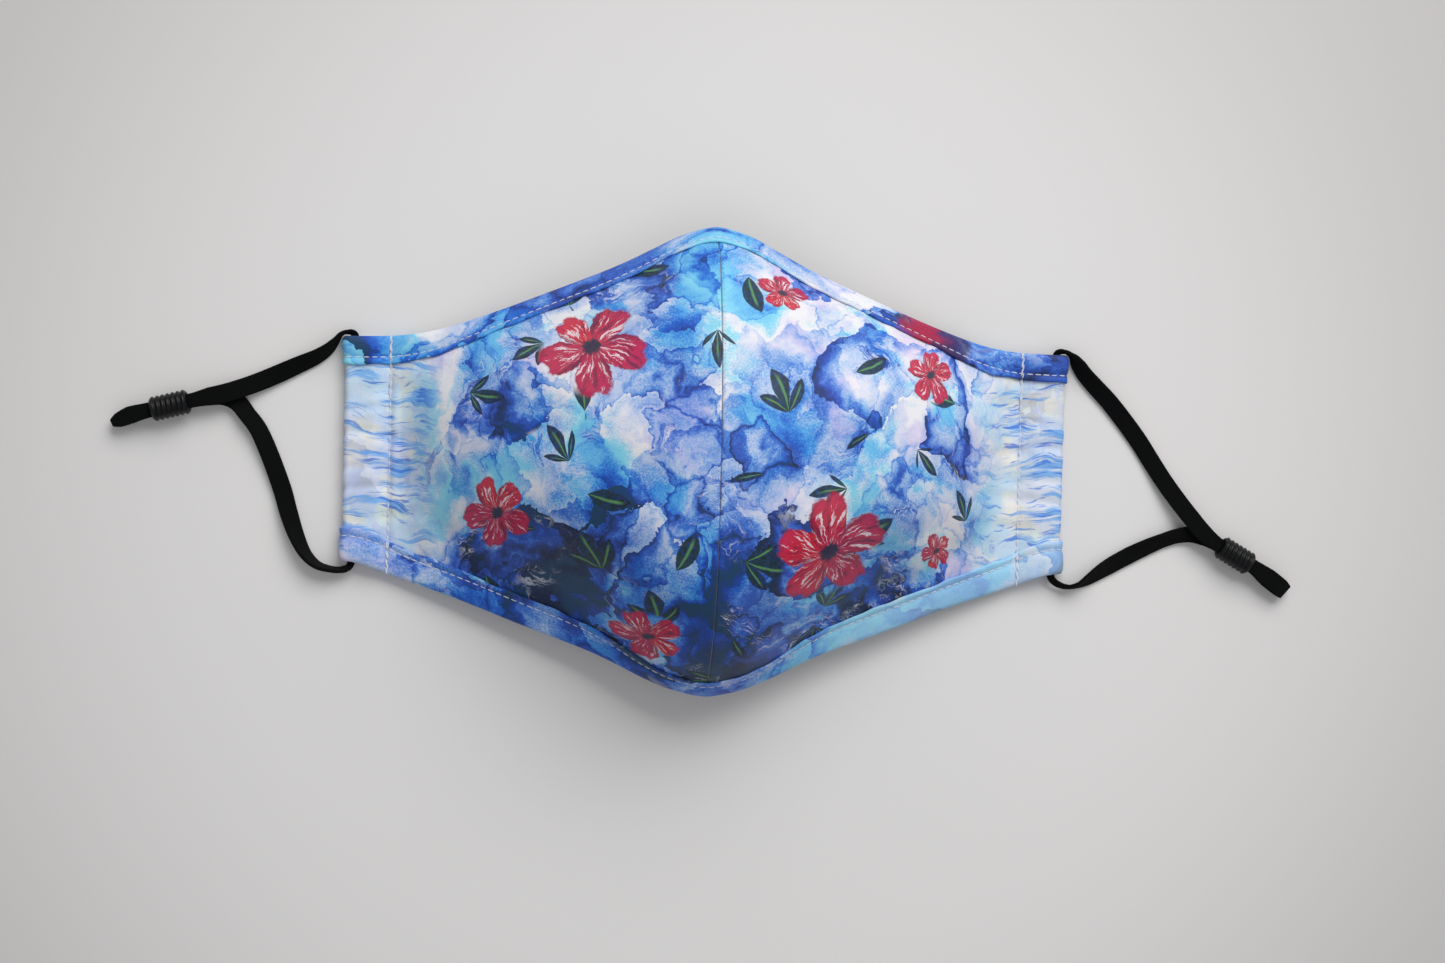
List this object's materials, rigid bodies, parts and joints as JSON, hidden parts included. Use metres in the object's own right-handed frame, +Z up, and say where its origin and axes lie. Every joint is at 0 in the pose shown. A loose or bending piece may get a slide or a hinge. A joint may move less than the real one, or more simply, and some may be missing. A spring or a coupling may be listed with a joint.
{
  "type": "cloth face mask",
  "caption": "Reusable cloth face mask with a two-panel seamed cup, bound edges, folded side casings and flat adjustable ear elastics, lying open on a table.",
  "frame": {"origin": "on the table, under the middle of the mask body's box", "axes": "+X across the face towards the casing on the viewer's right, +Y towards the nose edge, +Z up out of the table and away from the wearer's face"},
  "size_m": [0.3913, 0.1526, 0.0598],
  "materials": {
    "cup_cloth": "fine woven polyester with a blue and white watercolour print",
    "binding_cloth": "fine woven polyester strip with a blue and lilac watercolour print",
    "knit_elastic": "flat black knitted elastic, matt",
    "silicone": "dark grey silicone, satin"
  },
  "bodies": {
    "root": {"cup_panel_left": "cup_cloth", "cup_panel_right": "cup_cloth", "top_binding": "binding_cloth", "bottom_binding": "binding_cloth", "ear_elastic_left": "knit_elastic", "ear_elastic_right": "knit_elastic", "adjuster_left": "silicone", "adjuster_right": "silicone"}
  },
  "joints": []
}
